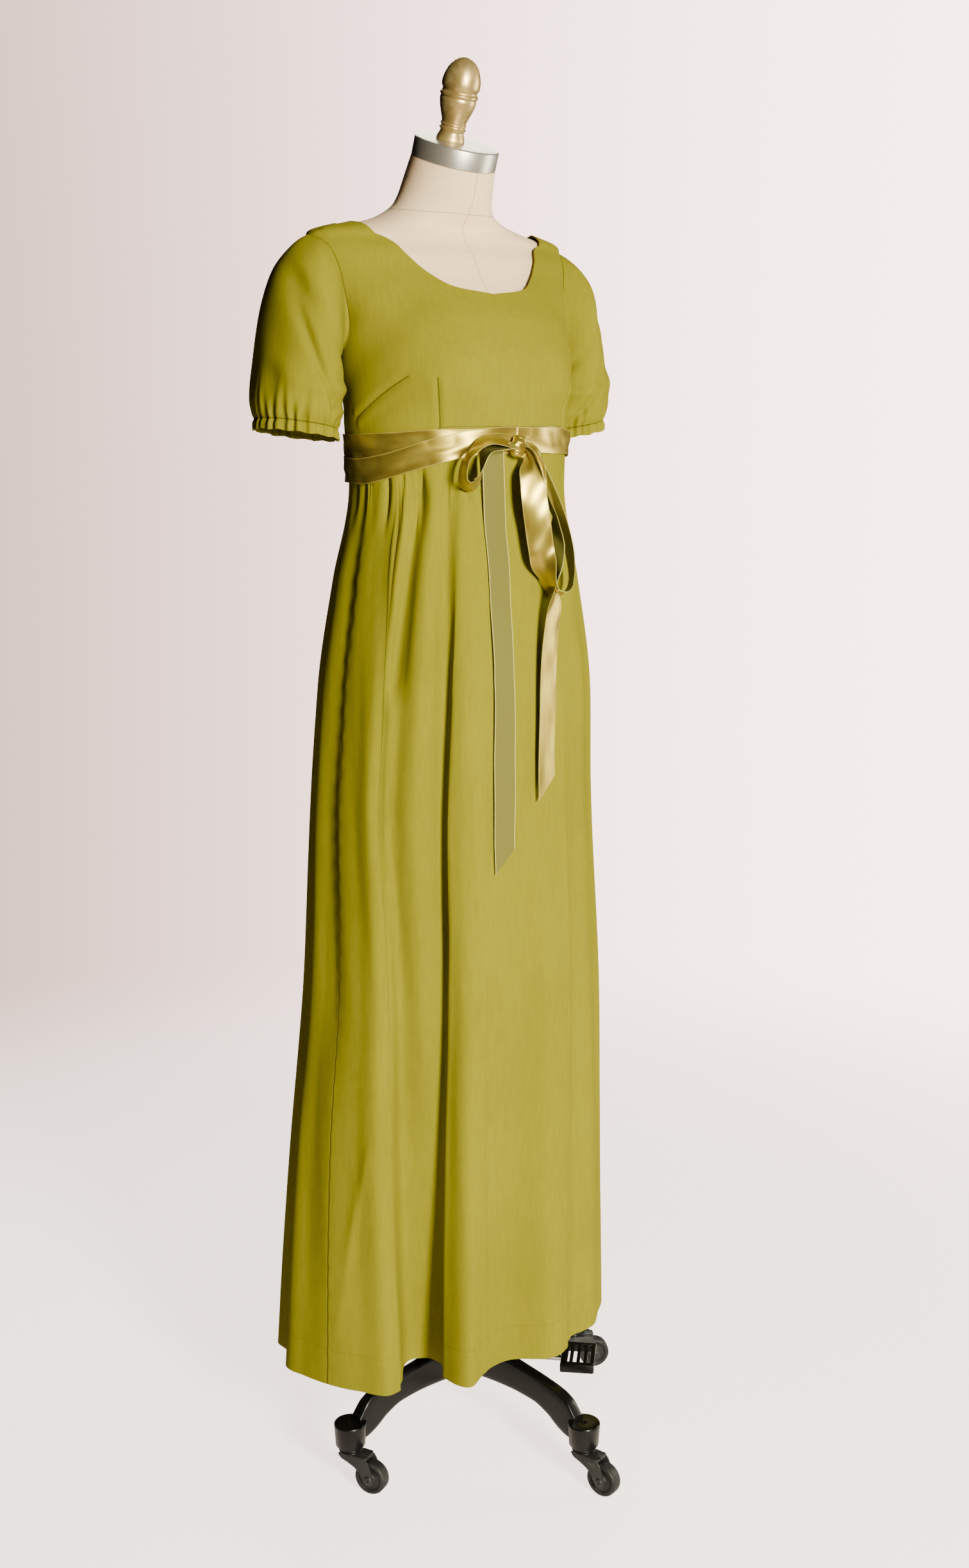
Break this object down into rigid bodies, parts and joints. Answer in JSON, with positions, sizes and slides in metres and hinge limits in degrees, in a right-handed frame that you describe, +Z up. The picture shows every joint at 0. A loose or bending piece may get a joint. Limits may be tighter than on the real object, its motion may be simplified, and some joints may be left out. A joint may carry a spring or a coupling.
{
  "type": "empire waist dress on dress form",
  "caption": "Floor-length empire waist dress with short puff sleeves and a tied ribbon sash, on a limbless dress form that slides up and down on a stand with casters.",
  "frame": {"origin": "on the pole's axis at the floor, under the middle of the part", "axes": "+Z up, -Y to the front of the dress, +X to the wearer's left"},
  "size_m": [0.5009, 0.5048, 1.6974],
  "materials": {
    "dress_cloth": "matte crepe",
    "ribbon_satin": "satin",
    "form_linen": "matte linen",
    "brushed_steel": "brushed",
    "gold_paint": "satin gold paint",
    "black_iron": "semi-gloss black",
    "caster_metal": "satin dark grey",
    "wheel_rubber": "satin",
    "chrome": "polished"
  },
  "bodies": {
    "stand": {"hub": "black_iron", "pole_tube": "brushed_steel", "leg_front": "black_iron", "leg_left": "black_iron", "leg_back": "black_iron", "leg_right": "black_iron"},
    "form": {"pole": "brushed_steel", "form_body": "form_linen", "neck_cap": "brushed_steel", "finial": "gold_paint", "bodice_front": "dress_cloth", "bodice_back_left": "dress_cloth", "bodice_back_right": "dress_cloth", "sleeve_left": "dress_cloth", "sleeve_right": "dress_cloth", "skirt_front": "dress_cloth", "skirt_back_left": "dress_cloth", "skirt_back_right": "dress_cloth", "sash_under": "ribbon_satin", "sash_over": "ribbon_satin", "bow_knot": "ribbon_satin", "bow_loop_left": "ribbon_satin", "bow_loop_right": "ribbon_satin", "bow_tail_left": "ribbon_satin", "bow_tail_right": "ribbon_satin"},
    "pedal": {"pedal_arm": "chrome", "pedal_plate": "black_iron"},
    "caster_front": {"caster_yoke_front": "caster_metal", "caster_axle_front": "caster_metal"},
    "wheel_front": {"caster_wheel_front": "wheel_rubber"},
    "caster_left": {"caster_yoke_left": "caster_metal", "caster_axle_left": "caster_metal"},
    "wheel_left": {"caster_wheel_left": "wheel_rubber"},
    "caster_back": {"caster_yoke_back": "caster_metal", "caster_axle_back": "caster_metal"},
    "wheel_back": {"caster_wheel_back": "wheel_rubber"},
    "caster_right": {"caster_yoke_right": "caster_metal", "caster_axle_right": "caster_metal"},
    "wheel_right": {"caster_wheel_right": "wheel_rubber"}
  },
  "joints": [
    {"name": "height", "type": "slide", "parent": "stand", "child": "form", "axis": [0, 0, 1], "range_m": [0, 0.2]},
    {"name": "swivel_front", "type": "hinge", "parent": "stand", "child": "caster_front", "pos_m": [0.0248, -0.20198, 0.052], "axis": [0, 0, 1], "continuous": true},
    {"name": "roll_front", "type": "hinge", "parent": "caster_front", "child": "wheel_front", "pos_m": [0.03256, -0.23096, 0.0206], "axis": [0.9659, 0.2588, 0], "continuous": true},
    {"name": "swivel_left", "type": "hinge", "parent": "stand", "child": "caster_left", "pos_m": [0.20198, 0.0248, 0.052], "axis": [0, 0, 1], "continuous": true},
    {"name": "roll_left", "type": "hinge", "parent": "caster_left", "child": "wheel_left", "pos_m": [0.22796, 0.0098, 0.0206], "axis": [0.5, 0.866, 0], "continuous": true},
    {"name": "swivel_back", "type": "hinge", "parent": "stand", "child": "caster_back", "pos_m": [-0.0248, 0.20198, 0.052], "axis": [0, 0, 1], "continuous": true},
    {"name": "roll_back", "type": "hinge", "parent": "caster_back", "child": "wheel_back", "pos_m": [-0.01704, 0.23096, 0.0206], "axis": [-0.9659, 0.2588, 0], "continuous": true},
    {"name": "swivel_right", "type": "hinge", "parent": "stand", "child": "caster_right", "pos_m": [-0.20198, -0.0248, 0.052], "axis": [0, 0, 1], "continuous": true},
    {"name": "roll_right", "type": "hinge", "parent": "caster_right", "child": "wheel_right", "pos_m": [-0.18883, -0.05176, 0.0206], "axis": [0.8988, 0.4384, 0], "continuous": true},
    {"name": "pedal_press", "type": "hinge", "parent": "stand", "child": "pedal", "pos_m": [0.02284, -0.02284, 0.096], "axis": [0.7071, 0.7071, 0], "range_deg": [0, 10], "stiffness_Nm_per_rad": 3, "springref_deg": -28.65}
  ]
}
